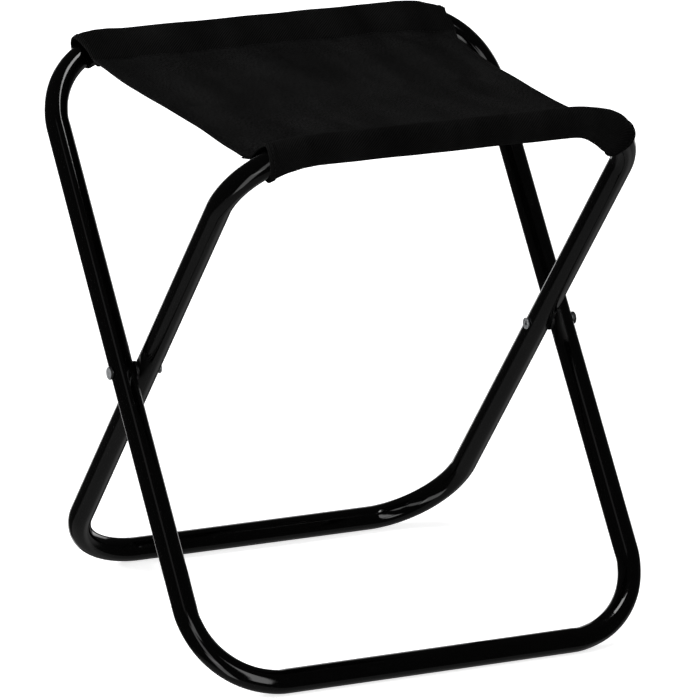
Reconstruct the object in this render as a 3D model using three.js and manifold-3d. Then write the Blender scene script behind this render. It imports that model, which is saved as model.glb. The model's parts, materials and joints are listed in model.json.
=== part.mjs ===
// A folding camp stool: two bent steel tube frames that cross on two rivets, with a cloth seat
// slung between their top bars. Millimetres, +Z up. X runs across the stool along the pivot axis,
// -Y is the front, and the origin is on the floor straight below the pivot.
import * as THREE from 'three';
import { mergeVertices } from 'three/addons/utils/BufferGeometryUtils.js';
import Module from 'manifold-3d';

const wasm = await Module();
wasm.setup();

// ---- Driving dimensions -------------------------------------------------------------------

const TUBE_RADIUS = 9; // 18 mm steel tube
const TUBE_WALL = 1;
const TUBE_SIDES = 16; // flats on the tube section, one of them square to the floor

const OUTER_HALF_WIDTH = 177.5; // leg centreline of the outer frame, from the middle
const LEG_SPACING = 18.7; // outer leg to inner leg, centre to centre
const INNER_HALF_WIDTH = OUTER_HALF_WIDTH - LEG_SPACING;
const ARM_UP = 257; // pivot to the top bar's centreline
const ARM_DOWN = 248; // pivot to the bottom bar's centreline
const BEND_RADIUS = 63; // at the tube's centreline
const BEND_STEPS = 8;
const LEAN = THREE.MathUtils.degToRad(38.5); // each frame from upright when the stool is open
const PIVOT_HEIGHT = ARM_DOWN * Math.cos(LEAN) + TUBE_RADIUS;

const BUTT_GAP = 1; // between the tube's two ends, in the middle of the top bar
const SPIGOT = { radius: 7.6, wall: 1.5, length: 60 }; // joins the two ends from the inside

// The facing sides of the crossing legs are pressed flat to seat the spacer washer.
const DIMPLE = { depth: 1.2, flatHalf: 9, endHalf: 16 };

const RIVET = {
  shank: 3, headRadius: 4.7, headHeight: 2, headChamfer: 0.5,
  tailRadius: 4.3, tailHeight: 1.6, tailRound: 0.5, boreRadius: 1.8, boreDepth: 12,
};
const RIVET_HOLE = 3.25;
const WASHER_RADIUS = 7;
const GAP = 0.3; // left between pieces that rest on each other
const ROUND_SIDES = 24;

const SLEEVE = { inside: 9.6, outside: 10.8 }; // the cloth wrapped round a top bar
const COVER_HALF_WIDTH = { outer: 146, inner: 144.5 }; // where the sleeve ends, from the middle
const PANEL = {
  thickness: 1.2,
  halfWidth: 142,
  shoulderHalf: 110, // narrower where the cloth rides up onto the bends
  shoulderDepth: 50, // from the bar's centreline to where the full width begins
  barClearance: 14, // from the bar's centreline to the panel's edge
  drop: 8.2, // the panel hangs this far below the bars' centreline
  splitY: -39, // the panel's two parts meet here, in front of its middle
};

// ---- Materials ----------------------------------------------------------------------------

const steelPaint = new THREE.MeshStandardMaterial({ color: 0x0b0b0c, roughness: 0.18, metalness: 0 });
const bareSteel = new THREE.MeshStandardMaterial({ color: 0x8f8f8c, roughness: 0.4, metalness: 1 });
const rivetSteel = new THREE.MeshStandardMaterial({ color: 0xb4b8bc, roughness: 0.3, metalness: 1 });
const nylon = new THREE.MeshStandardMaterial({ color: 0x101010, roughness: 0.5, metalness: 0 });
const cloth = new THREE.MeshStandardMaterial({ color: 0x131313, roughness: 0.9, metalness: 0 });

// ---- Solids -------------------------------------------------------------------------------

/** A closed three.js geometry as a manifold solid. */
function toSolid(geometry) {
  const bare = geometry.clone();
  bare.deleteAttribute('normal');
  bare.deleteAttribute('uv');
  const merged = mergeVertices(bare);
  const mesh = new wasm.Mesh({
    numProp: 3,
    vertProperties: new Float32Array(merged.attributes.position.array),
    triVerts: new Uint32Array(merged.index.array),
  });
  return new wasm.Manifold(mesh);
}

/** A manifold solid as a three.js geometry. */
function toGeometry(solid) {
  const mesh = solid.getMesh();
  const geometry = new THREE.BufferGeometry();
  geometry.setAttribute('position', new THREE.BufferAttribute(mesh.vertProperties, 3));
  geometry.setIndex(new THREE.BufferAttribute(mesh.triVerts, 1));
  return geometry;
}

/** A solid of revolution about the X axis, from [x, radius] points that start and end on it. */
function turned(profile) {
  const points = profile.map(([x, radius]) => new THREE.Vector2(radius, x));
  return new THREE.LatheGeometry(points, ROUND_SIDES).rotateZ(-Math.PI / 2);
}

// ---- The frames ---------------------------------------------------------------------------
// Each frame is drawn upright in the XZ plane with the pivot at the origin, then leaned.

/** A path swept exactly through its own stations, with the section kept square to the frame. */
class FramePath extends THREE.Curve {
  constructor(stations) {
    super();
    this.stations = stations;
  }

  getPointAt(u, target = new THREE.Vector3()) {
    return target.copy(this.stations[Math.round(u * (this.stations.length - 1))].point);
  }

  /** The section's x points out of the frame's loop and its y points to the frame's -Y side. */
  computeFrenetFrames() {
    const normals = this.stations.map(({ turn }) => new THREE.Vector3(Math.sin(turn), 0, Math.cos(turn)));
    const tangents = this.stations.map(({ turn }) => new THREE.Vector3(Math.cos(turn), 0, -Math.sin(turn)));
    const binormals = tangents.map((tangent, i) => tangent.clone().cross(normals[i]));
    return { tangents, normals, binormals };
  }
}

/** A station on the path: turn is 0 along the top bar and grows clockwise, seen from the front. */
function station(x, z, turn) {
  return { point: new THREE.Vector3(x, 0, z), turn };
}

/** The stations of one bend. It starts at fromTurn and goes round by sweep. */
function bend(centreX, centreZ, fromTurn, sweep) {
  return Array.from({ length: BEND_STEPS + 1 }, (_, i) => {
    const turn = fromTurn + (sweep * i) / BEND_STEPS;
    const x = centreX + BEND_RADIUS * Math.sin(turn);
    const z = centreZ + BEND_RADIUS * Math.cos(turn);
    return station(x, z, turn);
  });
}

/** The whole frame: from one end at the middle of the top bar, round the loop, to the other. */
function loopPath(halfWidth) {
  const bendX = halfWidth - BEND_RADIUS;
  const topZ = ARM_UP - BEND_RADIUS;
  const bottomZ = -ARM_DOWN + BEND_RADIUS;
  const quarter = Math.PI / 2;
  const { flatHalf, endHalf } = DIMPLE;
  const halfWay = (flatHalf + endHalf) / 2;
  const downLeg = [endHalf, halfWay, flatHalf, -flatHalf, -halfWay, -endHalf];
  return new FramePath([
    station(BUTT_GAP / 2, ARM_UP, 0),
    ...bend(bendX, topZ, 0, quarter),
    ...downLeg.map((z) => station(halfWidth, z, quarter)),
    ...bend(bendX, bottomZ, quarter, quarter),
    ...bend(-bendX, bottomZ, 2 * quarter, quarter),
    ...downLeg.toReversed().map((z) => station(-halfWidth, z, 3 * quarter)),
    ...bend(-bendX, topZ, 3 * quarter, quarter),
    station(-BUTT_GAP / 2, ARM_UP, 4 * quarter),
  ]);
}

/** The part of the top bar and its bends that the cloth covers, out to coverHalf each side. */
function sleevePath(halfWidth, coverHalf) {
  const bendX = halfWidth - BEND_RADIUS;
  const topZ = ARM_UP - BEND_RADIUS;
  const sweep = Math.asin((coverHalf - bendX) / BEND_RADIUS);
  return new FramePath([...bend(-bendX, topZ, -sweep, sweep), ...bend(bendX, topZ, 0, sweep)]);
}

/** A ring of flats. One flat faces straight down on the bottom bar once the frame is leaned. */
function flatSidedRing(outside, inside, lean) {
  const corner = (radius, i) => {
    const angle = -lean + ((i + 0.5) * 2 * Math.PI) / TUBE_SIDES;
    const reach = radius / Math.cos(Math.PI / TUBE_SIDES);
    return new THREE.Vector2(reach * Math.cos(angle), reach * Math.sin(angle));
  };
  const corners = Array.from({ length: TUBE_SIDES }, (_, i) => i);
  const ring = new THREE.Shape(corners.map((i) => corner(outside, i)));
  ring.holes.push(new THREE.Path(corners.map((i) => corner(inside, i))));
  return ring;
}

function sweep(section, path) {
  return new THREE.ExtrudeGeometry(section, { steps: path.stations.length - 1, extrudePath: path });
}

/** Presses the legs flat round the pivot. side is -1 for the inner face of a leg, 1 for the outer. */
function pressDimples(geometry, halfWidth, side) {
  const position = geometry.attributes.position;
  for (let i = 0; i < position.count; i += 1) {
    const x = position.getX(i);
    const across = (Math.abs(x) - halfWidth) * side;
    const radius = Math.hypot(across, position.getY(i));
    const onBore = radius < TUBE_RADIUS - TUBE_WALL / 2;
    const fade = THREE.MathUtils.smoothstep(Math.abs(position.getZ(i)), DIMPLE.flatHalf, DIMPLE.endHalf);
    const limit = TUBE_RADIUS - (onBore ? TUBE_WALL : 0) - DIMPLE.depth * (1 - fade);
    if (fade < 1 && across > limit) {
      position.setX(i, Math.sign(x) * (halfWidth + side * limit));
    }
  }
}

/** One frame's tube: swept, pressed flat at the crossing and drilled through for the rivets. */
function frameTube(halfWidth, lean, facingSide) {
  const section = flatSidedRing(TUBE_RADIUS, TUBE_RADIUS - TUBE_WALL, lean);
  const tube = sweep(section, loopPath(halfWidth));
  pressDimples(tube, halfWidth, facingSide);
  const drill = new THREE.CylinderGeometry(RIVET_HOLE, RIVET_HOLE, 3 * halfWidth, ROUND_SIDES);
  return toGeometry(toSolid(tube).subtract(toSolid(drill.rotateZ(Math.PI / 2))));
}

function sleeve(halfWidth, coverHalf, lean) {
  return sweep(flatSidedRing(SLEEVE.outside, SLEEVE.inside, lean), sleevePath(halfWidth, coverHalf));
}

function spigot(lean) {
  const half = SPIGOT.length / 2;
  const path = new FramePath([station(-half, ARM_UP, 0), station(half, ARM_UP, 0)]);
  return sweep(flatSidedRing(SPIGOT.radius, SPIGOT.radius - SPIGOT.wall, lean), path);
}

// ---- The pivots ---------------------------------------------------------------------------

/** A semi-tubular rivet along +X: its flat head is outside and its rolled tail inside. */
function rivet() {
  const { shank, headRadius, headHeight, headChamfer } = RIVET;
  const { tailRadius, tailHeight, tailRound, boreRadius, boreDepth } = RIVET;
  const headBack = OUTER_HALF_WIDTH + TUBE_RADIUS + GAP;
  const headFace = headBack + headHeight;
  const tailBack = INNER_HALF_WIDTH - TUBE_RADIUS - GAP;
  const tailFace = tailBack - tailHeight;
  return turned([
    [tailFace + boreDepth, 0],
    [tailFace + boreDepth, boreRadius],
    [tailFace, boreRadius],
    [tailFace, tailRadius - tailRound],
    [tailFace + tailRound, tailRadius],
    [tailBack, tailRadius],
    [tailBack, shank],
    [headBack, shank],
    [headBack, headRadius],
    [headFace - headChamfer, headRadius],
    [headFace, headRadius - headChamfer],
    [headFace, 0],
  ]);
}

/** The washer that keeps the crossing legs apart. It sits on the two pressed flats. */
function spacer() {
  const flat = TUBE_RADIUS - DIMPLE.depth;
  const inner = INNER_HALF_WIDTH + flat + GAP;
  const outer = OUTER_HALF_WIDTH - flat - GAP;
  const ring = new THREE.Shape().absarc(0, 0, WASHER_RADIUS, 0, 2 * Math.PI);
  ring.holes.push(new THREE.Path().absarc(0, 0, RIVET_HOLE, 0, 2 * Math.PI));
  const washer = new THREE.ExtrudeGeometry(ring, {
    depth: outer - inner, bevelEnabled: false, curveSegments: ROUND_SIDES,
  });
  return washer.rotateY(Math.PI / 2).translate(inner, 0, 0);
}

// ---- The seat -----------------------------------------------------------------------------

/** A flat part of the seat's cloth, from near its bar to the split. side is 1 at the rear. */
function seatPanel(side) {
  const barY = ARM_UP * Math.sin(LEAN);
  const edgeY = side * (barY - PANEL.barClearance);
  const shoulderY = side * (barY - PANEL.shoulderDepth);
  const splitY = PANEL.splitY + (side * GAP) / 2;
  const right = [
    new THREE.Vector2(PANEL.halfWidth, splitY),
    new THREE.Vector2(PANEL.halfWidth, shoulderY),
    new THREE.Vector2(PANEL.shoulderHalf, edgeY),
  ];
  const left = right.toReversed().map(({ x, y }) => new THREE.Vector2(-x, y));
  const outline = new THREE.Shape([...right, ...left]);
  const panel = new THREE.ExtrudeGeometry(outline, { depth: PANEL.thickness, bevelEnabled: false });
  const barZ = PIVOT_HEIGHT + ARM_UP * Math.cos(LEAN);
  return panel.translate(0, 0, barZ - PANEL.drop - PANEL.thickness / 2);
}

// ---- Assembly -----------------------------------------------------------------------------

function piece(name, geometry, material) {
  const mesh = new THREE.Mesh(geometry, material);
  mesh.name = name;
  return mesh;
}

/** Groups a frame's pieces and leans them about the pivot. A positive lean tips the top back. */
function leaned(lean, ...pieces) {
  const group = new THREE.Group();
  group.rotation.x = -lean;
  group.position.z = PIVOT_HEIGHT;
  return group.add(...pieces);
}

/** The hardware of one pivot. side is 1 at the right and -1 at the left. */
function pivot(sideName, side) {
  const group = new THREE.Group();
  group.rotation.z = side > 0 ? 0 : Math.PI;
  group.position.z = PIVOT_HEIGHT;
  return group.add(
    piece(`${sideName}_pivot_rivet`, rivet(), rivetSteel),
    piece(`${sideName}_spacer_washer`, spacer(), nylon),
  );
}

const stool = new THREE.Group();
stool.add(
  leaned(
    LEAN,
    piece('outer_frame_tube', frameTube(OUTER_HALF_WIDTH, LEAN, -1), steelPaint),
    piece('outer_frame_spigot', spigot(LEAN), bareSteel),
    piece('rear_sleeve', sleeve(OUTER_HALF_WIDTH, COVER_HALF_WIDTH.outer, LEAN), cloth),
  ),
  leaned(
    -LEAN,
    piece('inner_frame_tube', frameTube(INNER_HALF_WIDTH, -LEAN, 1), steelPaint),
    piece('inner_frame_spigot', spigot(-LEAN), bareSteel),
    piece('front_sleeve', sleeve(INNER_HALF_WIDTH, COVER_HALF_WIDTH.inner, -LEAN), cloth),
  ),
  pivot('left', -1),
  pivot('right', 1),
  piece('rear_seat_panel', seatPanel(1), cloth),
  piece('front_seat_panel', seatPanel(-1), cloth),
);

export default stool;
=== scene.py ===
"""A folding camp stool: two crossed tube frames, their rivets, and a sewn cloth seat.

Metres, +Z up, X across the stool along the pivot axis, -Y to the front. Pieces at the rear bar
and at the front bar share one set of functions: they work in a mirrored frame where "reach" is the
distance from the stool's middle towards the bar, and side turns reach into Y.
"""
import json
import math

import bpy
import numpy as np
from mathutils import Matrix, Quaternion, Vector, noise


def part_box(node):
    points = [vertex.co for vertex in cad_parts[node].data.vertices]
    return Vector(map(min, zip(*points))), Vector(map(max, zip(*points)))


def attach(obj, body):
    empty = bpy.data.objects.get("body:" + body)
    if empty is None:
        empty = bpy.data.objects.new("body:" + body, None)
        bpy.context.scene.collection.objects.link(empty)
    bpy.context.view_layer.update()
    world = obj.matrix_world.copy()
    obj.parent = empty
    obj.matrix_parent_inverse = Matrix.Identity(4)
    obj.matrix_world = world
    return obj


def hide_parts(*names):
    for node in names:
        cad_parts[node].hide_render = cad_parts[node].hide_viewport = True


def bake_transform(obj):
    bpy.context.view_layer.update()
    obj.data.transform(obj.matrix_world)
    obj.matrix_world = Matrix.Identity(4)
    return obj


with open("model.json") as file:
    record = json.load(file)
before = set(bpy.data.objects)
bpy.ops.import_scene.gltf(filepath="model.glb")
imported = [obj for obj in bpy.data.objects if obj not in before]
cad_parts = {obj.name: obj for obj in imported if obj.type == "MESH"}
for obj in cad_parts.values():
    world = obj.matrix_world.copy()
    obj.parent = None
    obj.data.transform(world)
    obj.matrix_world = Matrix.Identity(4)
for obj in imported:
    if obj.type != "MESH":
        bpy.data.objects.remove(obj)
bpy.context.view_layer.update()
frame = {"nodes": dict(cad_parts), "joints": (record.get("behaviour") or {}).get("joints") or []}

# ---- Places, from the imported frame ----

JOINTS = {joint["name"]: joint for joint in frame["joints"]}
PIVOT = Vector(JOINTS["fold"]["pos_m"])
REAR_BAR = Vector(JOINTS["seat_rear_drop"]["pos_m"])
ARM_UP = (REAR_BAR - PIVOT).length
LEAN = math.atan2(REAR_BAR.y - PIVOT.y, REAR_BAR.z - PIVOT.z)
BAR_HEIGHT = REAR_BAR.z
RIVET_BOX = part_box("right_pivot_rivet")
WASHER_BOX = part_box("right_spacer_washer")

# ---- Driving dimensions ----

MM = 0.001
TUBE_RADIUS = 9 * MM
TUBE_WALL = 1 * MM
TUBE_SIDES = 56
LEG_STEPS = 40  # along the stretch of leg round the pivot
TURNED_SIDES = 64
ARM_DOWN = (PIVOT.z - TUBE_RADIUS) / math.cos(LEAN)
OUTER_HALF_WIDTH = 177.5 * MM
INNER_HALF_WIDTH = 158.8 * MM
BEND_RADIUS = 63 * MM
BEND_STEPS = 40
BUTT_GAP = 1 * MM
BEND_SQUEEZE = 0.05  # the tube is this much thinner in the bend's plane
SQUEEZE_SPREAD = 0.3  # and wider across it, by this part of the squeeze
BEND_EASE = 0.2  # the squeeze comes in and goes out over this part of the bend
KINK_DEPTH = 0.45 * MM  # on the inside of a bend, where the bending tool let go
KINK_PLACE = 0.07  # of the bend, in from either end
KINK_SPREAD = 0.045
DIMPLE_DEPTH = 1.2 * MM  # the legs are pressed flat at the pivot
DIMPLE_FLAT = 8 * MM  # above and below the pivot
DIMPLE_END = 17 * MM
DIMPLE_ROUND = 0.25 * MM  # softens the rim of the flat

# Where a value of the cover has two keys, 1 is its half at the rear bar and -1 its half at the front.
# An EASE is where a change comes in, from 0 in the middle of the stool to 1 at the cloth's side edge.
CLOTH = 0.9 * MM
CLOTH_RADIUS = TUBE_RADIUS + 0.5 * MM + CLOTH / 2  # the middle of the cloth round a top bar
COVER_HALF_WIDTH = 153.4 * MM  # of the flat cloth; a sleeve's ends lie on the bends of its tube
COVER_SHIFT = {1: 1.2 * MM, -1: 11.6 * MM}  # it has slid this far to the right along each bar
CREASE_HALF_WIDTH = 145.25 * MM  # in the seat's middle, where the cloth is drawn in
CREASE_SHIFT = 1.75 * MM
SEAM_END = {1: (-146 * MM, 150 * MM), -1: (-138.5 * MM, 148 * MM)}  # x of the seam's ends: left, right
PANEL_END = {1: (-146 * MM, 150 * MM), -1: (-143.6 * MM, 148 * MM)}  # and of the seat just before it
SEAM_REACH = 130.5 * MM
SEAM_DROP = 5.2 * MM  # the seam is this far below the bars' centreline
SEAM_SAG = {  # and this much lower at its ends: left, right
    1: (-1 * MM, 3 * MM),
    -1: (4.4 * MM, 9 * MM),
}
SAG_EASE = (0.5, 1)
CREASE_HEIGHT = BAR_HEIGHT - 8.2 * MM
PANEL_CROWDING = 1.6  # above 1, the panel's columns lie closer together near the seam
LEFT_PULL = 0.5 * MM  # the tight cloth is narrower between the bars
RIGHT_PULL = {1: 16 * MM, -1: 19 * MM}  # much more at its right edge, which is looser
PULL_CURVE = 1.6  # above 1, the right pull is stronger towards the edge
END_SLACK = {  # more slack under the bar at the sleeve's ends: left, right
    1: (-2.4 * MM, 1.5 * MM),
    -1: (-0.4 * MM, 6.5 * MM),
}
SLACK_EASE = (0.62, 0.9)
END_STANDOFF = {  # the ends stand off the top of the tube: left, right
    1: (6.4 * MM, 1.1 * MM),
    -1: (7.2 * MM, 0),
}
STANDOFF_EASE = (0.72, 1)
BEND_SWELL = {1: 0, -1: 3 * MM}  # the cloth stands off the right bend, before the sleeve's end
SWELL_EASE = (0.66, 0.88)
SWELL_END_EASE = (1.04, 0.9)
END_TURN = {1: (1.05, 0.95), -1: (0.4, 1)}  # 1 if the sleeve's left, right end is square on the bent tube
BELLY = 2.6 * MM  # the slack of the sleeve's underside
RISE_SWELL = 1.3 * MM  # the cloth swells out between the seam and the bar
FOLD_HEIGHT = 2 * MM  # of the folds that the sitter's weight has left along the seat
FOLD_DRIFT = 0.4  # they drift this far to the right for each unit towards the front
PUCKER_HEIGHT = 0.32 * MM  # beside the seam
GATHER_HEIGHT = 0.55 * MM  # round the bends
GATHER_EASE = (0.55, 0.85)
SLEEVE_WAVE = 0.4 * MM
SLEEVE_DIP = 0.1 * MM  # the sleeve can't sink further than this, because of the tube inside
HEM_WIDTH = 5.8 * MM
HEM_STITCH = 3.8 * MM  # from the cloth's edge
HEM_LAYER = 0.85 * MM  # added by the turned-in edge
EDGE_ROUND = 0.9 * MM  # the cloth's side edges are rounded over this width
TAIL_ROUND = 0.6 * MM
LAYER_GAP = 0.15 * MM  # between the cloth's end and the seat above it
TAIL = 7.5 * MM  # the cloth's end, past the seam
STITCH_PITCH = 3.1 * MM
STITCH_LENGTH = 2.3 * MM
STITCH_START = 0.4 * MM  # within each pitch
STITCH_DIP = 0.22 * MM  # the hem's stitches pull the cloth in by this much
SEAM_GROOVE = 0.25 * MM
THREAD = 0.24 * MM
THREAD_LIFT = 0.35 * THREAD  # above the cloth
RIB_PITCH = 2.15 * MM  # of the twill, measured across the stool
WEAVE_PITCH = 0.75 * MM

AMBIENT = 0.2  # light from all round, against a background that is white at 1
DARK_ROOM = 0.025  # what the paint mirrors between the cards of light
FLOOR_GLOW = 0.76  # keeps the floor pale under the stool
GLOW_FADE = (0.5, 1.6)  # metres from the stool between which the glow rises to plain white
LAMP_TARGET = Vector((0, 0, 0.2))
CAMERA_TARGET = Vector((0.0043, 0, 0.1988))
CAMERA_BEARING = (-25.66, 17.13)  # azimuth and elevation in degrees
CAMERA_DISTANCE = 4.937
CAMERA_ROLL = 1.16  # degrees
CAMERA_LENS = 346  # mm, on a sensor 36 mm wide


def smoothstep(low, high, value):
    """0 at low and 1 at high, with an S-shaped rise between. low may be the larger one."""
    t = np.clip((value - low) / (high - low), 0, 1)
    return t * t * (3 - 2 * t)


def noise_at(points, scale, seed):
    """Smooth noise between about -1 and 1 at an array of points. scale is per metre, each way."""
    flat = points.reshape(-1, points.shape[-1])
    values = [noise.noise(Vector((p[0] * scale[0], p[1] * scale[1], seed))) for p in flat]
    return np.array(values).reshape(points.shape[:-1])


# ---- Meshes ----

def new_object(name, vertices, faces, material, sharp=()):
    """A smooth-shaded mesh object. sharp holds pairs of vertex numbers whose edge stays crisp."""
    mesh = bpy.data.meshes.new(name)
    mesh.from_pydata([tuple(v) for v in vertices], [], faces)
    mesh.validate()
    mesh.shade_smooth()
    if sharp:
        wanted = {tuple(sorted(pair)) for pair in sharp}
        for edge in mesh.edges:
            edge.use_edge_sharp = tuple(sorted(edge.vertices)) in wanted
    mesh.materials.append(material)
    piece = bpy.data.objects.new(name, mesh)
    bpy.context.scene.collection.objects.link(piece)
    return piece


def grid_faces(rows, columns, first=0, wrap_columns=False, flip=False):
    """Quads over a grid of vertices numbered row by row."""
    faces = []
    for i in range(rows - 1):
        for j in range(columns if wrap_columns else columns - 1):
            a = first + i * columns + j
            b = first + i * columns + (j + 1) % columns
            faces.append((a, a + columns, b + columns, b) if flip else (a, b, b + columns, a + columns))
    return faces


# ---- The frames ----

class Loop:
    """One frame's closed loop of tube. side is 1 for the outer frame, whose top bar is at the rear."""

    def __init__(self, name, side, half_width, facing):
        self.name = name
        self.side = side
        self.half_width = half_width
        self.facing = facing  # 1 if the crossing leg is on the loop's outside, -1 if inside
        self.bend_x = half_width - BEND_RADIUS
        self.top_bend = ARM_UP - BEND_RADIUS

    def place(self, x, along, out):
        """World points from x, the distance up the loop from the pivot, and the distance off its plane."""
        y = self.side * (along * math.sin(LEAN) - out * math.cos(LEAN))
        z = PIVOT.z + along * math.cos(LEAN) + out * math.sin(LEAN)
        return np.stack(np.broadcast_arrays(x, y, z), axis=-1)

    def stations(self):
        """x, distance up the loop, turn and place in the bend, from the top bar's middle clockwise."""
        quarter = math.pi / 2
        bottom_bend = BEND_RADIUS - ARM_DOWN
        leg = list(np.linspace(DIMPLE_END, -DIMPLE_END, LEG_STEPS + 1))

        def bend(sign, centre, start):
            return [
                (
                    sign * self.bend_x + BEND_RADIUS * math.sin(start + quarter * t),
                    centre + BEND_RADIUS * math.cos(start + quarter * t),
                    start + quarter * t,
                    t,
                )
                for t in np.linspace(0, 1, BEND_STEPS + 1)
            ]

        return np.array(
            [(BUTT_GAP / 2, ARM_UP, 0, 0)]
            + bend(1, self.top_bend, 0)
            + [(self.half_width, s, quarter, 0) for s in leg]
            + bend(1, bottom_bend, quarter)
            + bend(-1, bottom_bend, 2 * quarter)
            + [(-self.half_width, s, 3 * quarter, 0) for s in reversed(leg)]
            + bend(-1, self.top_bend, 3 * quarter)
            + [(-BUTT_GAP / 2, ARM_UP, 4 * quarter, 0)]
        )

    def surface(self, radius):
        """The tube's skin at one radius: a row of points round the section for each station."""
        x, along, turn, bend = (column[:, None] for column in self.stations().T)
        angle = np.arange(TUBE_SIDES) * 2 * math.pi / TUBE_SIDES
        outward = radius * np.cos(angle)
        across = radius * np.sin(angle)
        in_bend = smoothstep(0, BEND_EASE, bend) * smoothstep(0, BEND_EASE, 1 - bend)
        kink = sum(
            np.exp(-((bend - place) / KINK_SPREAD) ** 2)
            for place in (KINK_PLACE, 1 - KINK_PLACE)
        )
        on_inside = np.clip(-np.cos(angle), 0, 1) ** 3
        kink = kink * (bend > 0) * (bend < 1) * on_inside
        outward = outward * (1 - BEND_SQUEEZE * in_bend) + KINK_DEPTH * kink
        across = across * (1 + SQUEEZE_SPREAD * BEND_SQUEEZE * in_bend)
        outward = self.press_flat(outward, along, radius)
        return self.place(x + outward * np.sin(turn), along + outward * np.cos(turn), across)

    def press_flat(self, outward, along, radius):
        """The section's outward part, with the side that faces the other leg flat at the pivot."""
        pressed = 1 - smoothstep(DIMPLE_FLAT, DIMPLE_END, abs(along))
        over = outward * self.facing - (radius - DIMPLE_DEPTH)
        over = (over + np.sqrt(over ** 2 + DIMPLE_ROUND ** 2)) / 2
        return outward - self.facing * over * pressed

    def tube(self, material):
        """The whole tube as one closed mesh: its skin, its bore, and the two cut ends."""
        outer = self.surface(TUBE_RADIUS)
        inner = self.surface(TUBE_RADIUS - TUBE_WALL)
        rows = len(outer)
        count = rows * TUBE_SIDES
        faces = grid_faces(rows, TUBE_SIDES, wrap_columns=True)
        faces += grid_faces(rows, TUBE_SIDES, first=count, wrap_columns=True, flip=True)
        sharp = []
        for row, flip in ((0, True), (rows - 1, False)):
            for j in range(TUBE_SIDES):
                a, b = row * TUBE_SIDES + j, row * TUBE_SIDES + (j + 1) % TUBE_SIDES
                face = (a, b, b + count, a + count)
                faces.append(face if flip == (self.side < 0) else face[::-1])
                sharp += [(a, b), (a + count, b + count)]
        vertices = np.concatenate([outer.reshape(-1, 3), inner.reshape(-1, 3)])
        faces = outward_faces(vertices, faces)
        piece = new_object(f"{self.name}_steel_tube", vertices, faces, material, sharp)
        stand_in(piece, self.name, f"{self.name}_tube")


def stand_in(piece, body, node):
    """Puts the piece on its body, in place of a CAD node."""
    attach(piece, body)
    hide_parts(node)


def outward_faces(vertices, faces):
    """The same faces, all turned over if the closed mesh they make is inside out."""
    volume = 0.0
    for face in faces:
        a = vertices[face[0]]
        for k in range(1, len(face) - 1):
            volume += np.dot(a, np.cross(vertices[face[k]], vertices[face[k + 1]]))
    return faces if volume > 0 else [face[::-1] for face in faces]


# ---- The pivots ----

def arc(centre_x, centre_r, radius, start, end, steps):
    """Points on an arc of a turned profile. Angles are in degrees, 0 along +X and 90 outwards."""
    angles = np.radians(np.linspace(start, end, steps + 1))
    return [(centre_x + radius * math.cos(a), centre_r + radius * math.sin(a)) for a in angles]


def turned(name, profile, material, side, closed=False):
    """A solid of revolution about the pivot axis. The profile's points are (x, radius)."""
    angles = np.arange(TURNED_SIDES) * 2 * math.pi / TURNED_SIDES
    circle = [(math.cos(a), math.sin(a)) for a in angles]
    vertices, rows = [], []
    for x, radius in profile:
        rows.append(len(vertices))
        ring = circle if radius > 0 else [(0, 0)]
        vertices += [(side * x, PIVOT.y + radius * y, PIVOT.z + radius * z) for y, z in ring]
    faces = []
    pairs = list(zip(range(len(profile)), range(1, len(profile))))
    if closed:
        pairs.append((len(profile) - 1, 0))
    for i, k in pairs:
        a, b = rows[i], rows[k]
        for j in range(TURNED_SIDES):
            n = (j + 1) % TURNED_SIDES
            if profile[i][1] == 0:
                faces.append((a, b + n, b + j))
            elif profile[k][1] == 0:
                faces.append((a + j, a + n, b))
            else:
                faces.append((a + j, a + n, b + n, b + j))
    vertices = np.array(vertices)
    piece = new_object(name, vertices, outward_faces(vertices, faces), material)
    piece.data.set_sharp_from_angle(angle=math.radians(38))
    return piece


def rivet(side_name, side, material):
    """A semi-tubular rivet: a flat head outside, and a tail rolled over inside the inner leg."""
    face, tail = RIVET_BOX[1].x, RIVET_BOX[0].x
    head, head_height, shank = 4.7 * MM, 2 * MM, 3 * MM
    lip, bore, roll = 4.3 * MM, 1.75 * MM, 0.8 * MM
    bore_end = tail + 11 * MM
    mouth = 0.75 * MM  # radius of the bore's flared mouth
    burr = 0.2 * MM  # radius of the head's back edge
    back = tail + 2 * roll
    under_head = face - head_height
    hollow = [(bore_end, 0), (bore_end, bore * 0.6), (bore_end - 0.6 * MM, bore), (tail + 1.3 * MM, bore)]
    rolled_tail = (
        arc(tail + 1.1 * MM, bore + mouth, mouth, 285, 190, 6)
        + arc(tail + roll, lip - roll, roll, 180, 90, 8)
        + arc(tail + roll, lip - roll, roll, 80, 0, 7)
    )
    straight = [(back, shank + 0.1 * MM), (back + 0.3 * MM, shank), (under_head, shank)]
    rim = (
        [(under_head, head - burr)]
        + arc(under_head + burr, head - burr, burr, 180, 90, 3)
        + arc(face - 0.55 * MM, head - 0.5 * MM, 0.5 * MM, 90, 12, 6)
    )
    dome = [
        (face - 0.02 * MM, head - 1.1 * MM),
        (face + 0.03 * MM, head - 2.4 * MM),
        (face + 0.04 * MM, 0),
    ]
    profile = hollow + rolled_tail + straight + rim + dome
    piece = turned(f"{side_name}_rivet", profile, material, side)
    stand_in(piece, "outer_frame", f"{side_name}_pivot_rivet")


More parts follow.
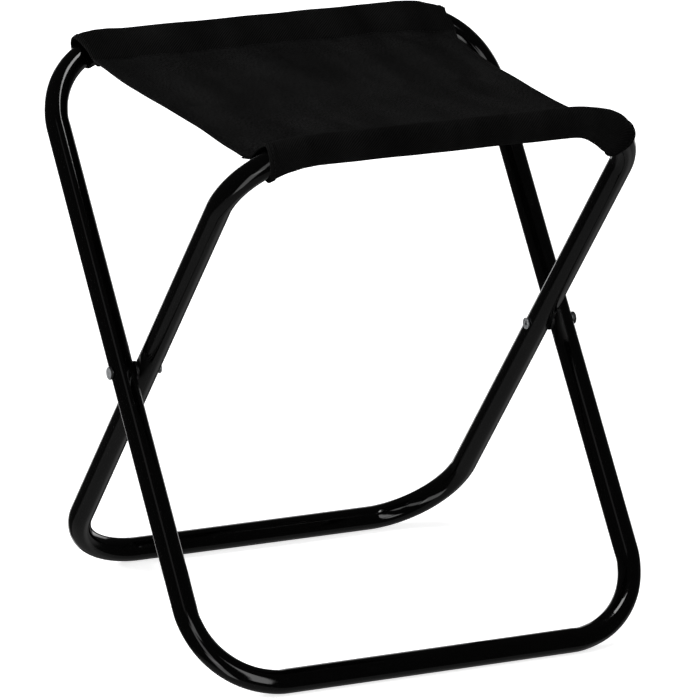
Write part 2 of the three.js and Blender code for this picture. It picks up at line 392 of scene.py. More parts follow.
def washer(side_name, side, material):
    """The nylon spacer between the legs, with rounded rims and a waist round its middle."""
    inner, outer = WASHER_BOX[0].x, WASHER_BOX[1].x
    rim, hole, edge, chamfer = 7 * MM, 3.25 * MM, 0.45 * MM, 0.2 * MM
    middle = (inner + outer) / 2
    profile = (
        arc(inner + edge, rim - edge, edge, 180, 90, 5)
        + [(middle - 0.5 * MM, rim), (middle, rim - 0.12 * MM), (middle + 0.5 * MM, rim)]
        + arc(outer - edge, rim - edge, edge, 90, 0, 5)
        + [(outer, hole + chamfer), (outer - chamfer, hole)]
        + [(inner + chamfer, hole), (inner, hole + chamfer)]
    )
    piece = turned(f"{side_name}_spacer", profile, material, side, closed=True)
    stand_in(piece, "outer_frame", f"{side_name}_spacer_washer")


# ---- The cloth ----

def distances(points):
    """How far along a polyline each of its points is."""
    steps = np.linalg.norm(np.diff(points, axis=0), axis=1)
    return np.concatenate([[0], np.cumsum(steps)])


def resample(points, count):
    """The same polyline with count evenly spaced points."""
    length = distances(points)
    wanted = np.linspace(0, length[-1], count)
    return np.stack([np.interp(wanted, length, column) for column in points.T], axis=1)


class Cover:
    """The half of the seat's cloth that hangs from one top bar, as a grid of middle points.

    Rows run across the stool. Columns follow the cloth: from the seat's middle crease to the seam,
    over the bar and back under it to the seam, and on to the cloth's end under the seat.
    """

    PANEL, RISE, WRAP, RETURN, END = 48, 16, 34, 22, 8  # columns in each stretch

    def __init__(self, loop):
        self.loop = loop
        self.side = loop.side
        self.half = COVER_HALF_WIDTH
        self.shift = COVER_SHIFT[self.side]
        self.across = self.row_places()
        self.u = (self.across - self.shift) / self.half  # -1 to 1 from edge to edge
        self.edge = self.half * (1 - abs(self.u))  # distance in from the nearer side edge
        self.middle = np.array([self.section(place, u) for place, u in zip(self.across, self.u)])
        self.add_wrinkles()
        self.measure()

    def row_places(self):
        """Where every row is across the flat cloth: closer at the hems, and one exactly at x = 0."""
        inset = np.concatenate([
            [0, 0.15, 0.4, 0.8, 1.4, 2.2],
            np.arange(3.0, 8.1, 0.4),
            np.arange(9.5, 60, 3.0),
        ]) * MM
        low, high = self.shift - self.half, self.shift + self.half
        left, right = low + inset, high - inset
        between = np.linspace(left[-1], 0, 25)[1:]
        beyond = np.linspace(0, right[-1], 27)[1:-1]
        return np.concatenate([left, between, beyond, right[::-1]])

    def x_of(self, place):
        """x on the outside of the tube's bend, from the distance along the flat cloth."""
        past = max(0.0, abs(place) - self.loop.bend_x)
        outside = BEND_RADIUS + CLOTH_RADIUS
        return math.copysign(abs(place) - past + outside * math.sin(past / outside), place)

    def outline(self, x, radius, turn, standoff):
        """Round a tube of that radius near x, from the seam's side over its top.

        Points are (slip, reach, height). In the bend, points on its inside slip back towards x = 0.
        With a turn of 1 they make a ring that sits square on the tube. standoff lifts the ring's top.
        """
        facing = math.pi / 2 + LEAN
        angle = facing - np.linspace(0, 2 * math.pi, 721)
        outside = max(0.0, abs(x) - self.loop.bend_x)
        slip = turn * outside * radius * (1 - np.cos(angle)) / (BEND_RADIUS + radius)
        into_bend = outside - slip
        along = self.loop.top_bend + np.sqrt((BEND_RADIUS + radius * np.cos(angle)) ** 2 - into_bend ** 2)
        out = radius * np.sin(angle)
        reach = along * math.sin(LEAN) - out * math.cos(LEAN)
        height = PIVOT.z + along * math.cos(LEAN) + out * math.sin(LEAN)
        lift = (height - height.min()) / (height.max() - height.min())
        lift = lift * (1 - 0.7 * np.clip(np.sin(angle), 0, 1))  # less where the folded bars meet
        height = height + standoff * lift
        return np.stack([-math.copysign(1, x) * slip, reach, height], axis=1)

    def section(self, place, u):
        """World points of the cloth's middle line at one row."""
        x = self.x_of(place)
        end = int(u > 0)
        seam_slip, panel_slip = self.slips(x, end)
        sag = SEAM_SAG[self.side][end] * smoothstep(*SAG_EASE, abs(u))
        seam = np.array([seam_slip, SEAM_REACH, BAR_HEIGHT - SEAM_DROP - sag])
        hem = smoothstep(HEM_WIDTH, HEM_WIDTH - 1.5 * MM, self.half * (1 - abs(u)))
        under = seam + np.array([0, 0.6 * MM, -(CLOTH + LAYER_GAP) - HEM_LAYER * hem])
        panel = self.panel_line(seam, panel_slip)
        sleeve = self.sleeve_line(x, u, seam, under)
        slope = (panel[-1] - panel[-6]) / np.linalg.norm(panel[-1] - panel[-6])
        tail = under - np.linspace(0, TAIL, self.END + 1)[:, None] * slope
        path = np.concatenate([panel, sleeve, tail[1:]])
        for _ in range(3):
            path[1:-1] = (path[:-2] + 2 * path[1:-1] + path[2:]) / 4
        return self.loosen(x, u, path)

    def slips(self, x, end):
        """How far the seam, and the seat just before it, slip along the bend at one row."""
        outermost = self.x_of(self.shift + (self.half if end else -self.half))
        into_bend = max(0.0, abs(x) - self.loop.bend_x)
        bend_part = into_bend / (abs(outermost) - self.loop.bend_x)
        return [(ends[self.side][end] - outermost) * bend_part for ends in (SEAM_END, PANEL_END)]

    def panel_line(self, seam, panel_slip):
        """(slip, reach, height) from the crease to the seam."""
        along = 1 - np.linspace(1, 0, self.PANEL) ** PANEL_CROWDING
        slip = panel_slip + (seam[0] - panel_slip) * smoothstep(0.96, 1, along)
        height = CREASE_HEIGHT + (seam[2] - CREASE_HEIGHT) * along ** 2
        return np.stack([slip, SEAM_REACH * along, height], axis=1)

    def sleeve_line(self, x, u, seam, under):
        """(slip, reach, height) from just past the seam, over the bar and back to the point under it."""
        end = int(u > 0)
        standoff = END_STANDOFF[self.side][end] * smoothstep(*STANDOFF_EASE, abs(u))
        bulge = smoothstep(*SWELL_EASE, u) * smoothstep(*SWELL_END_EASE, u)
        standoff = standoff + BEND_SWELL[self.side] * bulge
        tube = self.outline(x, CLOTH_RADIUS, END_TURN[self.side][end], standoff)
        bearing = np.arctan2(tube[:, 2] - seam[2], tube[:, 1] - seam[1])
        top, bottom = int(np.argmax(bearing)), int(np.argmin(bearing))
        rise = np.linspace(seam, tube[top], self.RISE + 1)
        swell = np.sin(np.linspace(0, math.pi, self.RISE + 1)) ** 1.5
        rise = rise + swell[:, None] * np.array([0, -0.35, 0.9]) * RISE_SWELL
        wrap = resample(tube[top:bottom + 1], self.WRAP + 1)
        back = np.linspace(wrap[-1], under, self.RETURN + 1)
        half = self.WRAP // 2
        lower = np.concatenate([wrap[half:], back[1:]])
        slack = BELLY + END_SLACK[self.side][end] * smoothstep(*SLACK_EASE, abs(u))
        hang = np.sin(np.linspace(0, math.pi, len(lower))) ** 2 * slack
        lower = lower - hang[:, None] * np.array([0, 0.12, 1.0])
        return np.concatenate([rise[1:], wrap[1:half], lower])

    def loosen(self, x, u, path):
        """World points of a section, with the cloth's side edges drawn in between the bars."""
        crease_x = CREASE_SHIFT + u * CREASE_HALF_WIDTH
        crease_pull = (RIGHT_PULL[1] + RIGHT_PULL[-1]) / 2
        to_bar = np.clip(path[:, 1] / SEAM_REACH, 0, 1)
        to_crease = 1 - smoothstep(0, 1, to_bar)
        pull = crease_pull + (RIGHT_PULL[self.side] - crease_pull) * smoothstep(0, 0.4, to_bar)
        across = x + path[:, 0]
        across = across + (crease_x - across) * to_crease
        drawn_in = LEFT_PULL * max(0.0, -u) - pull * max(0.0, u) ** PULL_CURVE
        across = across + drawn_in * (1 - to_bar ** 4)
        return np.stack([across, self.side * path[:, 1], path[:, 2]], axis=1)

    def normals(self):
        """Unit normals of the middle surface, on the side of the cloth that faces up on the seat."""
        across = np.gradient(self.middle, axis=0)
        along = np.gradient(self.middle, axis=1)
        normal = np.cross(across, along) * self.side
        return normal / np.linalg.norm(normal, axis=2, keepdims=True)

    def add_wrinkles(self):
        """Pulls and puckers: lines of tension on the seat, gathers at the seam and in the bends."""
        columns = self.middle.shape[1]
        column = np.arange(columns)
        length = self.path_lengths()
        place = np.stack([self.middle[..., 0], length * self.side], axis=2)
        streaks = place + np.array([1, 0]) * FOLD_DRIFT * place[..., 1:]
        on_panel = (column < self.PANEL)[None, :]
        to_seam = abs(length - length[:, self.PANEL - 1:self.PANEL])
        pulls = noise_at(streaks, (34, 6), seed=3.1) + 0.4 * noise_at(streaks, (80, 11), seed=7.7)
        pulls = pulls * FOLD_HEIGHT * smoothstep(0.0, 50 * MM, length) * on_panel
        puckers = noise_at(place, (190, 24), seed=8.7) * PUCKER_HEIGHT * np.exp(-to_seam / (9 * MM))
        bend = smoothstep(*GATHER_EASE, abs(self.u))[:, None] * smoothstep(0, 12 * MM, to_seam)
        bend = bend * (~on_panel) * smoothstep(0, 4 * MM, self.edge)[:, None]
        gathers = (noise_at(place, (120, 30), seed=5.2) + 0.25) * GATHER_HEIGHT * np.clip(bend, 0, 1)
        waves = noise_at(place, (45, 22), seed=1.4) * SLEEVE_WAVE
        waves = waves * (~on_panel) * smoothstep(0, 15 * MM, to_seam)
        raised = pulls + puckers + np.maximum(gathers + waves, -SLEEVE_DIP)
        self.middle = self.middle + self.normals() * raised[..., None]

    def path_lengths(self):
        """Distance along the cloth from the crease, at every point."""
        steps = np.linalg.norm(np.diff(self.middle, axis=1), axis=2)
        return np.concatenate([np.zeros((len(self.across), 1)), np.cumsum(steps, axis=1)], axis=1)

    def measure(self):
        """Normals, lengths, and how thick the cloth is on each side of its middle surface."""
        self.normal = self.normals()
        self.length = self.path_lengths()
        on_bar = self.on_bar()
        edge = self.edge[:, None]
        hem = smoothstep(HEM_WIDTH, HEM_WIDTH - 0.9 * MM, edge)
        stitched = np.exp(-((edge - HEM_STITCH) / (0.7 * MM)) ** 2) * STITCH_DIP
        seam = self.length[:, self.PANEL - 1:self.PANEL]
        seam_groove = np.exp(-((self.length - seam) / (0.9 * MM)) ** 2) * SEAM_GROOVE
        rounding = self.rounded(edge, EDGE_ROUND, 0.03)
        rounding = rounding * self.rounded(self.length[:, -1:] - self.length, TAIL_ROUND, 0.05)
        face = CLOTH / 2 + hem * HEM_LAYER * (0.15 + 0.8 * on_bar) - stitched - seam_groove
        back = CLOTH / 2 + hem * HEM_LAYER * (0.85 - 0.65 * on_bar) - stitched * (1 - on_bar)
        self.face = face * rounding
        self.back = back * rounding

    def on_bar(self):
        """1 in the columns round the bar, where the hem's turned-in layer shows on the face."""
        column = np.arange(self.middle.shape[1])
        first = self.PANEL + self.RISE // 2
        last = self.PANEL + self.RISE + self.WRAP + 6
        starts = smoothstep(first - 6, first + 6, column)
        ends = smoothstep(last + 8, last - 4, column)
        return (starts * ends)[None, :]

    @staticmethod
    def rounded(distance, width, least):
        """The part of the thickness left at a distance from an edge that is rounded over a width."""
        inward = 1 - np.clip(distance / width, 0, 1)
        return np.sqrt(np.clip(1 - inward ** 2, least, 1))

    def at(self, row, column):
        """A point of the middle surface, its normal and both thicknesses, between grid points."""
        i = int(min(row, len(self.across) - 2))
        j = int(min(column, self.middle.shape[1] - 2))
        a, b = row - i, column - j
        weights = (
            (i, j, (1 - a) * (1 - b)),
            (i + 1, j, a * (1 - b)),
            (i, j + 1, (1 - a) * b),
            (i + 1, j + 1, a * b),
        )
        point, normal, face, back = (
            sum(grid[r, c] * weight for r, c, weight in weights)
            for grid in (self.middle, self.normal, self.face, self.back)
        )
        return point, normal / np.linalg.norm(normal), face, back

    def quadrant(self, name, rows, material):
        """One closed piece of cloth from some of the rows."""
        middle, normal = self.middle[rows], self.normal[rows]
        top = middle + normal * self.face[rows][..., None]
        bottom = middle - normal * self.back[rows][..., None]
        n, m = middle.shape[:2]
        layers = (0, n * m)  # the number of the first vertex on the face and on the back
        vertices = np.concatenate([top.reshape(-1, 3), bottom.reshape(-1, 3)])
        faces = grid_faces(n, m) + grid_faces(n, m, first=n * m, flip=True)
        rim = list(range(m))
        rim += [i * m + m - 1 for i in range(1, n)]
        rim += [(n - 1) * m + j for j in range(m - 2, -1, -1)]
        rim += [i * m for i in range(n - 2, 0, -1)]
        for a, b in zip(rim, rim[1:] + rim[:1]):
            faces.append((b, a, a + n * m, b + n * m))
        cut_rows = [i for i in (0, n - 1) if abs(self.across[rows][i]) < 1e-9]
        sharp = [
            (i * m + j + layer, i * m + j + 1 + layer)
            for i in cut_rows
            for j in range(m - 1)
            for layer in layers
        ]
        sharp += [(i * m + layer, (i + 1) * m + layer) for i in range(n - 1) for layer in layers]
        piece = new_object(name, vertices, outward_faces(vertices, faces), material, sharp)
        self.unwrap(piece, rows)
        return piece

    def unwrap(self, piece, rows):
        """A UV map in metres on the flat cloth, which the weave follows."""
        u = np.broadcast_to(self.across[rows][:, None], self.length[rows].shape)
        v = self.length[rows] * self.side
        flat = np.stack([u, v], axis=2).reshape(-1, 2)
        flat = np.concatenate([flat, flat])
        layer = piece.data.uv_layers.new(name="cloth")
        corners = np.zeros(len(piece.data.loops), np.int32)
        piece.data.loops.foreach_get("vertex_index", corners)
        layer.data.foreach_set("uv", flat[corners].astype(np.float32).ravel())


def attach_cloth(piece):
    """Bakes the piece's placement into its mesh."""
    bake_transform(piece)


def stitch_run(places):
    """Evenly spaced stitches along a list of (point, normal) places. Each is two such places."""
    points = np.array([point for point, _ in places])
    normals = np.array([normal for _, normal in places])
    length = distances(points)
    runs = []
    for k in range(int(length[-1] / STITCH_PITCH)):
        start = k * STITCH_PITCH + STITCH_START
        ends = []
        for distance in (start, start + STITCH_LENGTH):
            point = np.array([np.interp(distance, length, column) for column in points.T])
            normal = np.array([np.interp(distance, length, column) for column in normals.T])
            ends.append((point, normal / np.linalg.norm(normal)))
        runs.append(ends)
    return runs


def stitch_mesh(name, runs, material):
    """Short bowed lengths of thread whose ends dip into the cloth."""
    sides, steps = 6, 6
    vertices, faces = [], []
    for (start, normal_a), (end, normal_b) in runs:
        first = len(vertices)
        along = end - start
        along /= np.linalg.norm(along)
        for t in np.linspace(0, 1, steps + 1):
            normal = normal_a * (1 - t) + normal_b * t
            sideways = np.cross(along, normal)
            sideways /= np.linalg.norm(sideways)
            bow = THREAD * (1.1 * math.sin(math.pi * t) - 0.75)
            radius = THREAD * (0.55 + 0.45 * math.sin(math.pi * t))
            centre = start * (1 - t) + end * t + normal * bow
            for k in range(sides):
                angle = 2 * math.pi * k / sides
                spoke = math.cos(angle) * sideways + math.sin(angle) * normal
                vertices.append(centre + radius * spoke)
        faces += grid_faces(steps + 1, sides, first=first, wrap_columns=True)
        faces.append(tuple(first + k for k in range(sides))[::-1])
        faces.append(tuple(first + steps * sides + k for k in range(sides)))
    vertices = np.array(vertices)
    return new_object(name, vertices, outward_faces(vertices, faces), material)


def on_face(places):
    """(point, normal) just above the side of the cloth that faces up on the seat."""
    return [(point + normal * (face + THREAD_LIFT), normal) for point, normal, face, _ in places]


def on_back(places):
    """The same on the cloth's other side."""
    return [(point - normal * (back + THREAD_LIFT), -normal) for point, normal, _, back in places]


def sew(cover, name, right, thread):
    """Every stitch of one quadrant: along the seam, and along the side hem on both sides."""
    rows = np.arange(len(cover.across))
    columns = cover.middle.shape[1]
    wanted = cover.across > 0 if right else cover.across < 0
    seam_rows = [r for r in rows[wanted] if cover.edge[r] > HEM_STITCH]
    stitch_edge = cover.half - HEM_STITCH
    hem_place = cover.shift + (stitch_edge if right else -stitch_edge)
    hem_row = float(np.interp(hem_place, cover.across, rows))
    seam = [cover.at(row, cover.PANEL - 1) for row in seam_rows]
    hem = [cover.at(hem_row, column) for column in range(columns - 3)]
    below = [cover.at(row, columns - cover.END - 1) for row in seam_rows]
    panel_hem = [cover.at(hem_row, column) for column in range(cover.PANEL - 10)]
    runs = stitch_run(on_face(seam)) + stitch_run(on_face(hem)) + stitch_run(on_face(below))
    runs += stitch_run(on_back(panel_hem))
    piece = stitch_mesh(name, runs, thread)
    attach_cloth(piece)


def seat_half(loop, place, cloth, thread):
    """The cloth and stitches at one bar, in a left and a right piece."""
    cover = Cover(loop)
    zero = int(np.argmin(abs(cover.across)))
    for hand, rows, right in (("left", slice(0, zero + 1), False), ("right", slice(zero, None), True)):
        piece = cover.quadrant(f"{place}_{hand}_seat_cloth", rows, cloth)
        attach_cloth(piece)
        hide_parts(f"{place}_sleeve", f"{place}_seat_panel")
        sew(cover, f"{place}_{hand}_stitching", right, thread)


# ---- Materials ----

class Nodes:
    """Small helpers that build up a node tree, self.tree."""

    def node(self, kind, **settings):
        node = self.tree.nodes.new(kind)
        for key, value in settings.items():
            setattr(node, key, value)
        return node

    def feed(self, socket, value):
        """Links a socket, or sets a plain value."""
        if isinstance(value, bpy.types.NodeSocket):
            self.tree.links.new(value, socket)
        else:
            socket.default_value = value

    def math(self, operation, a, b=0.0):
        node = self.node("ShaderNodeMath", operation=operation)
        self.feed(node.inputs[0], a)
        self.feed(node.inputs[1], b)
        return node.outputs[0]

    def product(self, a, b):
        return self.math("MULTIPLY", a, b)

    def range(self, value, low, high, to_low=0.0, to_high=1.0):
        """to_low where the value is at low, to_high where it is at high, and a smooth change between."""
        node = self.node("ShaderNodeMapRange", interpolation_type="SMOOTHSTEP")
        numbers = {"Value": value, "From Min": low, "From Max": high, "To Min": to_low, "To Max": to_high}
        for name, number in numbers.items():
            self.feed(node.inputs[name], number)
        return node.outputs[0]

    def split(self, vector):
        """A vector's three numbers."""
        node = self.node("ShaderNodeSeparateXYZ")
        self.feed(node.inputs[0], vector)
        return list(node.outputs)


class Shader(Nodes):
    """A node material with one Principled BSDF."""

    def __init__(self, name, **inputs):
        self.material = bpy.data.materials.new(name)
        self.material.use_nodes = True
        self.tree = self.material.node_tree
        self.bsdf = self.tree.nodes["Principled BSDF"]
        for key, value in inputs.items():
            self.set(key, value)

    def set(self, key, value):
        self.feed(self.bsdf.inputs[key], value)

    def noise(self, vector, scale, detail=2.0, stretch=(1, 1, 1), turn=0.0):
        """Noise, stretched along the axes after turning the vector round Z."""
        mapping = self.node("ShaderNodeMapping")
        mapping.inputs["Scale"].default_value = stretch
        mapping.inputs["Rotation"].default_value = (0, 0, turn)
        self.feed(mapping.inputs["Vector"], vector)
        node = self.node("ShaderNodeTexNoise")
        self.feed(node.inputs["Vector"], mapping.outputs[0])
        node.inputs["Scale"].default_value = scale
        node.inputs["Detail"].default_value = detail
        return node.outputs["Fac"]

    def mix(self, factor, low, high):
        """Between two colours."""
        node = self.node("ShaderNodeMix", data_type="RGBA")
        self.feed(node.inputs["Factor"], factor)
        self.feed(node.inputs["A"], low)
        self.feed(node.inputs["B"], high)
        return node.outputs["Result"]

    def scale(self, colour, factor):
        """A colour made darker or lighter."""
        node = self.node("ShaderNodeVectorMath", operation="SCALE")
        self.feed(node.inputs[0], colour)
        self.feed(node.inputs["Scale"], factor)
        return node.outputs[0]

    def bump(self, height, distance, strength, below=None):
        """A bumped normal, on top of the normal below if there is one."""
        node = self.node("ShaderNodeBump")
        node.inputs["Strength"].default_value = strength
        node.inputs["Distance"].default_value = distance
        self.feed(node.inputs["Height"], height)
        if below is not None:
            self.feed(node.inputs["Normal"], below)
        return node.outputs[0]

    def place(self):
        return self.node("ShaderNodeTexCoord").outputs["Object"]

    def from_pivot(self, place):
        """Distance from the pivot axis."""
        _, y, z = self.split(place)
        y = self.math("SUBTRACT", y, PIVOT.y)
        z = self.math("SUBTRACT", z, PIVOT.z)
        return self.math("SQRT", self.math("ADD", self.product(y, y), self.product(z, z)))


def grey(value, tint=(1, 1, 1)):
    """A grey colour with full alpha."""
    return tuple(value * t for t in tint) + (1.0,)


def gloss_paint():
    """Black stoved paint with orange peel, and dust in the film.

    It is scuffed where it touches the floor, and rubbed dull where the legs face each other.
    """
    s = Shader("gloss_black_paint", IOR=1.5)
    place = s.place()
    x, _, z = s.split(place)
    contact = s.range(z, 3.5 * MM, 0.8 * MM)
    scratches = s.noise(place, scale=900, detail=3, stretch=(0.12, 1, 1))
    scuffs = s.product(contact, s.range(scratches, 0.5, 0.62))
    specks = s.range(s.noise(place, scale=1500, detail=1), 0.74, 0.8)
    colour = s.mix(s.noise(place, scale=30), grey(0.0004), grey(0.0008))
    colour = s.mix(s.product(specks, 0.25), colour, grey(0.05))
    s.set("Base Color", s.mix(scuffs, colour, grey(0.16, (1, 0.98, 0.95))))
    film = s.range(s.noise(place, scale=60, detail=4), 0.3, 0.75, 0.04, 0.09)
    across = s.math("ABSOLUTE", x)
    past_inner = s.range(across, INNER_HALF_WIDTH, INNER_HALF_WIDTH + 3 * MM)
    before_outer = s.range(across, OUTER_HALF_WIDTH - 1 * MM, OUTER_HALF_WIDTH - 4 * MM)
    near_pivot = s.range(s.from_pivot(place), 26 * MM, 18 * MM)
    rubbed = s.product(near_pivot, s.product(past_inner, before_outer))
    dull = s.math("MAXIMUM", scuffs, s.product(rubbed, 0.8))
    s.set("Roughness", s.math("ADD", film, s.product(dull, 0.4)))
    peel = s.noise(place, scale=420, detail=2)
    s.set("Normal", s.bump(peel, 0.04 * MM, 0.5, below=s.bump(specks, 0.02 * MM, 0.4)))
    return s.material


def twill_height(s, u, v, uv, sleeve):
    """The weave's height, 0 to about 1: diagonal ribs with the threads crossing under them."""
    waver = s.product(s.math("SUBTRACT", s.noise(uv, scale=90, detail=3), 0.5), 0.7 * MM)
    diagonal = s.math("ADD", s.math("SUBTRACT", u, v), waver)
    rib = s.math("SINE", s.product(diagonal, 2 * math.pi / RIB_PITCH))
    weft = s.math("SINE", s.product(u, 2 * math.pi / WEAVE_PITCH))
    warp = s.math("SINE", s.product(v, 2 * math.pi / WEAVE_PITCH))
    threads = s.product(s.product(weft, warp), 0.3)
    # The ribs show less towards the right end: painted shade, for the shadowed, gathered cloth there. They
    # are also fainter towards the front.
    ribs_shaded_right = s.range(u, 60 * MM, 140 * MM, 1, 0.45)
    ribs_fainter_front = s.range(v, -100 * MM, 100 * MM, 0.65, 1)
    ribs = s.math("SUBTRACT", s.range(rib, -0.6, 0.6), 0.5)
    ribs = s.math("ADD", s.product(ribs, s.product(ribs_shaded_right, ribs_fainter_front)), 0.5)
    return s.math("ADD", s.product(ribs, s.range(sleeve, 0, 1, 0.35, 0.8)), threads)


def twill_cloth():
    """Black polyester twill with slubs and lint. The seat is painted greyer than the sleeves, as painted
    light for the light that shines up through its single layer, and painted light and shade streaks along
    its folds.
    """
    s = Shader("black_twill")
    uv = s.node("ShaderNodeUVMap", uv_map="cloth").outputs[0]
    u, v, _ = s.split(uv)
    sleeve = s.range(s.math("ABSOLUTE", v), SEAM_REACH - 1 * MM, SEAM_REACH + 2 * MM)
    height = twill_height(s, u, v, uv, sleeve)
    slubs = s.range(s.noise(uv, scale=800, detail=2, stretch=(1, 0.7, 1)), 0.4, 0.6)
    # The seat's tone is lighter than the sleeves': painted light, for the light that shines up through the
    # seat's single layer of cloth, where the sleeves are doubled.
    seat_tone_lit_through = s.mix(s.math("ADD", slubs, height), grey(0.0001), grey(0.0104))
    sleeve_tone = s.mix(height, grey(0.0003), grey(0.0120, (1, 1, 0.99)))
    tone = s.mix(sleeve, seat_tone_lit_through, sleeve_tone)
    # Lighter and darker streaks along the folds: painted light and shade of the folds, drawn along the
    # same drift as the folds in the cloth.
    folds = s.noise(uv, scale=30, detail=3, stretch=(1, 0.14, 1), turn=-math.atan(FOLD_DRIFT))
    fold_light_and_shade = s.range(folds, 0.3, 0.7, 0.76, 1.27)
    clouded = s.range(s.noise(s.place(), scale=22, detail=4), 0.3, 0.7, 0.88, 1.12)
    tone = s.scale(tone, s.product(fold_light_and_shade, clouded))
    lint = s.range(s.noise(uv, scale=1100, detail=1, stretch=(1, 0.5, 1)), 0.77, 0.83)
    s.set("Base Color", s.mix(s.product(lint, 0.5), tone, grey(0.05)))
    s.set("Roughness", s.range(height, 0, 1, 0.9, 0.75))
    s.set("Specular IOR Level", 0.02)
    s.set("Normal", s.bump(height, 0.25 * MM, 0.8))
    return s.material


def sewing_thread():
    """Black polyester thread, slightly shinier than the cloth, with its twist."""
    s = Shader("black_thread")
    s.set("Specular IOR Level", 0.2)
    fibre = s.noise(s.place(), scale=2600, detail=2, stretch=(1, 1, 0.4))
    s.set("Base Color", s.mix(fibre, grey(0.0016), grey(0.006)))
    s.set("Roughness", s.range(fibre, 0.3, 0.7, 0.55, 0.75))
    s.set("Normal", s.bump(fibre, 0.08 * MM, 0.7))
    return s.material


def zinc_plate():
    """Bright zinc on the rivets: turned marks round the axis, dull spots, and a dark rim on the head,
    which is painted shade.
    """
    s = Shader("zinc_plated_steel", Metallic=0.6)
    place = s.place()
    radius = s.from_pivot(place)
    rings = s.node("ShaderNodeCombineXYZ")
    s.feed(rings.inputs[0], s.product(radius, 5000))
    marks = s.noise(rings.outputs[0], scale=1.0, detail=3)
    dull = s.range(s.noise(place, scale=700, detail=4), 0.35, 0.75)
    # The head's outer rim is darkened: painted shade.
    rim_shade = s.range(radius, 4.3 * MM, 4.7 * MM)
    colour = s.mix(dull, grey(0.50, (0.96, 1, 1.04)), grey(0.38))
    s.set("Base Color", s.mix(rim_shade, colour, grey(0.05)))
    s.set("Roughness", s.math("ADD", s.range(dull, 0, 1, 0.24, 0.42), s.product(marks, 0.12)))
    s.set("Normal", s.bump(marks, 0.04 * MM, 0.5))
    return s.material


def black_nylon():
    """The washers' moulded nylon, slightly grainy."""
    s = Shader("black_nylon")
    place = s.place()
    grain = s.noise(place, scale=1800, detail=3)
    s.set("Base Color", s.mix(s.noise(place, scale=220), grey(0.0015), grey(0.004)))
    s.set("Roughness", s.range(grain, 0.3, 0.7, 0.36, 0.56))
    s.set("Normal", s.bump(grain, 0.04 * MM, 0.6))
    return s.material


def drawn_steel():
    """The spigots' bare steel, with draw lines along the tube and a little rust."""
    s = Shader("bare_drawn_steel", Metallic=1.0)
    place = s.place()
    lines = s.noise(place, scale=2400, detail=3, stretch=(0.02, 1, 1))
    rust = s.range(s.noise(place, scale=160, detail=5), 0.6, 0.74)
    colour = s.mix(lines, grey(0.34), grey(0.5))
    s.set("Base Color", s.mix(s.product(rust, 0.5), colour, (0.2, 0.09, 0.04, 1)))
    s.set("Roughness", s.math("ADD", s.range(lines, 0.3, 0.7, 0.28, 0.45), s.product(rust, 0.3)))
    s.set("Normal", s.bump(lines, 0.03 * MM, 0.6))
    return s.material


# ---- The stage ----

def pale_floor():
    """A plain pale floor that fills the view. The gloss paint doesn't mirror it."""
    size = 30.0  # from the middle to each side
    s = Shader("pale_floor", Roughness=0.9)
    s.set("Base Color", grey(0.9))
    s.set("Specular IOR Level", 0.0)
    paths = s.node("ShaderNodeLightPath")
    s.set("Emission Color", grey(1.0))
    away = s.node("ShaderNodeVectorMath", operation="LENGTH")
    s.feed(away.inputs[0], s.place())
    glow = s.range(away.outputs["Value"], *GLOW_FADE, FLOOR_GLOW, 1.0)
    s.set("Emission Strength", s.product(paths.outputs["Is Camera Ray"], glow))
    corners = [(-size, -size, 0), (size, -size, 0), (size, size, 0), (-size, size, 0)]
    floor = new_object("floor", corners, [(0, 1, 2, 3)], s.material)
    floor.visible_glossy = False


class Room(Nodes):
    """The world's nodes: white to the camera, soft grey light, and cards of light in the reflections."""

    def __init__(self):
        world = bpy.data.worlds.new("studio")
        bpy.context.scene.world = world
        world.use_nodes = True
        self.tree = world.node_tree
        x, y, z = self.split(self.node("ShaderNodeTexCoord").outputs["Generated"])
        self.azimuth = self.math("ARCTAN2", x, self.product(y, -1.0))
        self.elevation = self.math("ARCSINE", z)

    def band(self, value, middle, half, soft):
        """1 within half of the middle, fading to 0 over soft, both in degrees. The rest is in radians."""
        away = self.math("ABSOLUTE", self.math("SUBTRACT", value, middle))
        return self.range(away, math.radians(half + soft), math.radians(half))

    def card(self, azimuth, elevation, half_width, half_height, soft, strength, lean=0.0):
        """A card of light. lean moves it round by that many degrees for each degree of height."""
        above = self.math("SUBTRACT", self.elevation, math.radians(elevation))
        middle = self.math("ADD", self.product(above, lean), math.radians(azimuth))
        across = self.band(self.azimuth, middle, half_width, soft)
        tall = self.band(self.elevation, math.radians(elevation), half_height, soft)
        return self.product(self.product(across, tall), strength)

    def background(self, strength):
        node = self.node("ShaderNodeBackground")
        self.feed(node.inputs["Color"], grey(1.0))
        self.feed(node.inputs["Strength"], strength)
        return node.outputs[0]

    def finish(self, ambient, reflected):
        """Joins it up: ambient lights the surfaces, the paint mirrors reflected, the camera sees white."""
        paths = self.node("ShaderNodeLightPath").outputs
        seen = self.background(ambient)
        for ray, strength in (("Is Glossy Ray", reflected), ("Is Camera Ray", 1.0)):
            mix = self.node("ShaderNodeMixShader")
            for socket, value in zip(mix.inputs, (paths[ray], seen, self.background(strength))):
                self.feed(socket, value)
            seen = mix.outputs[0]
        self.feed(self.tree.nodes["World Output"].inputs["Surface"], seen)


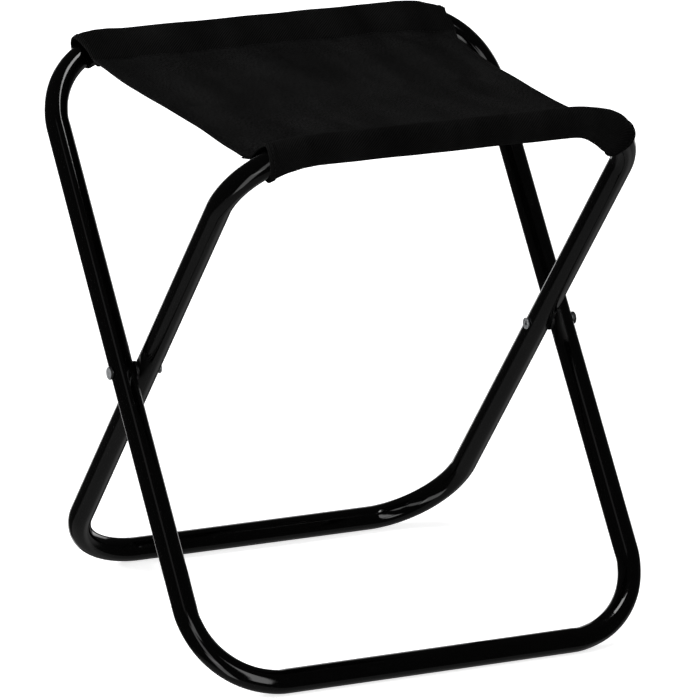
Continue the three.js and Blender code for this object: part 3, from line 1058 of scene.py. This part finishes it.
def surroundings():
    """A dark studio in the reflections: strips in front, to the left and behind, and low glows.

    A card is azimuth, elevation, half width, half height and soft edge in degrees, then strength.
    """
    room = Room()
    cards = [
        room.card(-45, -27, 7, 20, 4, 1.6),
        room.card(-41, 10, 4, 22, 4, 1.3),
        room.card(-24, 41, 7, 6, 4, 1.6, lean=0.9),
        room.card(-46, 48, 9, 2, 4, 0.22),
        room.card(7, 12, 5, 24, 5, 2.6, lean=0.28),
        room.card(110, -40, 12, 14, 18, 0.13),
        room.card(130, -2, 5, 12, 5, 1.0),
        room.card(158, 6, 3, 16, 4, 0.9),
        room.card(176, -16, 5, 20, 5, 1.2),
        room.card(0, -85, 180, 38, 8, 0.12),
    ]
    total = DARK_ROOM
    for card in cards:
        total = room.math("ADD", card, total)
    room.finish(AMBIENT, total)


def direction(azimuth, elevation):
    """Unit vector from the stool towards a place at that azimuth and elevation, in degrees."""
    a, e = math.radians(azimuth), math.radians(elevation)
    return Vector((math.sin(a) * math.cos(e), -math.cos(a) * math.cos(e), math.sin(e)))


def aim(thing, target, bearing, distance, roll=0.0):
    """Places a lamp or the camera at a bearing from its target, looking back at it."""
    towards = direction(*bearing)
    thing.location = target + towards * distance
    thing.rotation_mode = "QUATERNION"
    turn = Quaternion((0, 0, 1), math.radians(roll))
    thing.rotation_quaternion = towards.to_track_quat("Z", "Y") @ turn
    bpy.context.scene.collection.objects.link(thing)


def area_light(name, azimuth, elevation, distance, width, height, power, mirrored=False):
    """A rectangle of light that faces the stool. The paint mirrors it only if mirrored is True."""
    light = bpy.data.lights.new(name, "AREA")
    light.shape = "RECTANGLE"
    light.size = width
    light.size_y = height
    light.energy = power
    lamp = bpy.data.objects.new(name, light)
    lamp.visible_glossy = mirrored
    aim(lamp, LAMP_TARGET, (azimuth, elevation), distance)


def studio_lights():
    """Soft boxes for the cloth and the floor. Of these, the paint mirrors only the top strip."""
    area_light("overhead", -20, 70, 2.4, 1.6, 1.6, 13)
    area_light("top_strip", 33, 71, 1.85, 0.3, 0.62, 4, mirrored=True)
    area_light("left_softbox", -105, 22, 2.2, 0.6, 0.6, 42)
    area_light("front_softbox", 10, 30, 2.6, 0.8, 1.2, 6)
    area_light("back_softbox", 165, 24, 2.4, 0.8, 1.0, 5)


def camera():
    """A long lens, a little above the seat and to the left of the front."""
    data = bpy.data.cameras.new("camera")
    data.sensor_width = 36
    data.lens = CAMERA_LENS
    data.clip_end = 100
    seen = bpy.data.objects.new("camera", data)
    aim(seen, CAMERA_TARGET, CAMERA_BEARING, CAMERA_DISTANCE, CAMERA_ROLL)
    bpy.context.scene.camera = seen


# ---- Assembly ----

OUTER = Loop("outer_frame", 1, OUTER_HALF_WIDTH, -1)
INNER = Loop("inner_frame", -1, INNER_HALF_WIDTH, 1)

paint = gloss_paint()
cloth = twill_cloth()
thread = sewing_thread()
zinc = zinc_plate()
nylon = black_nylon()
steel = drawn_steel()

for loop in (OUTER, INNER):
    loop.tube(paint)
    spigot = frame["nodes"][f"{loop.name}_spigot"]
    spigot.data.materials.clear()
    spigot.data.materials.append(steel)
for side_name, side in (("left", -1), ("right", 1)):
    rivet(side_name, side, zinc)
    washer(side_name, side, nylon)
seat_half(OUTER, "rear", cloth, thread)
seat_half(INNER, "front", cloth, thread)

pale_floor()
surroundings()
studio_lights()
camera()
bpy.context.scene.view_settings.view_transform = "Standard"
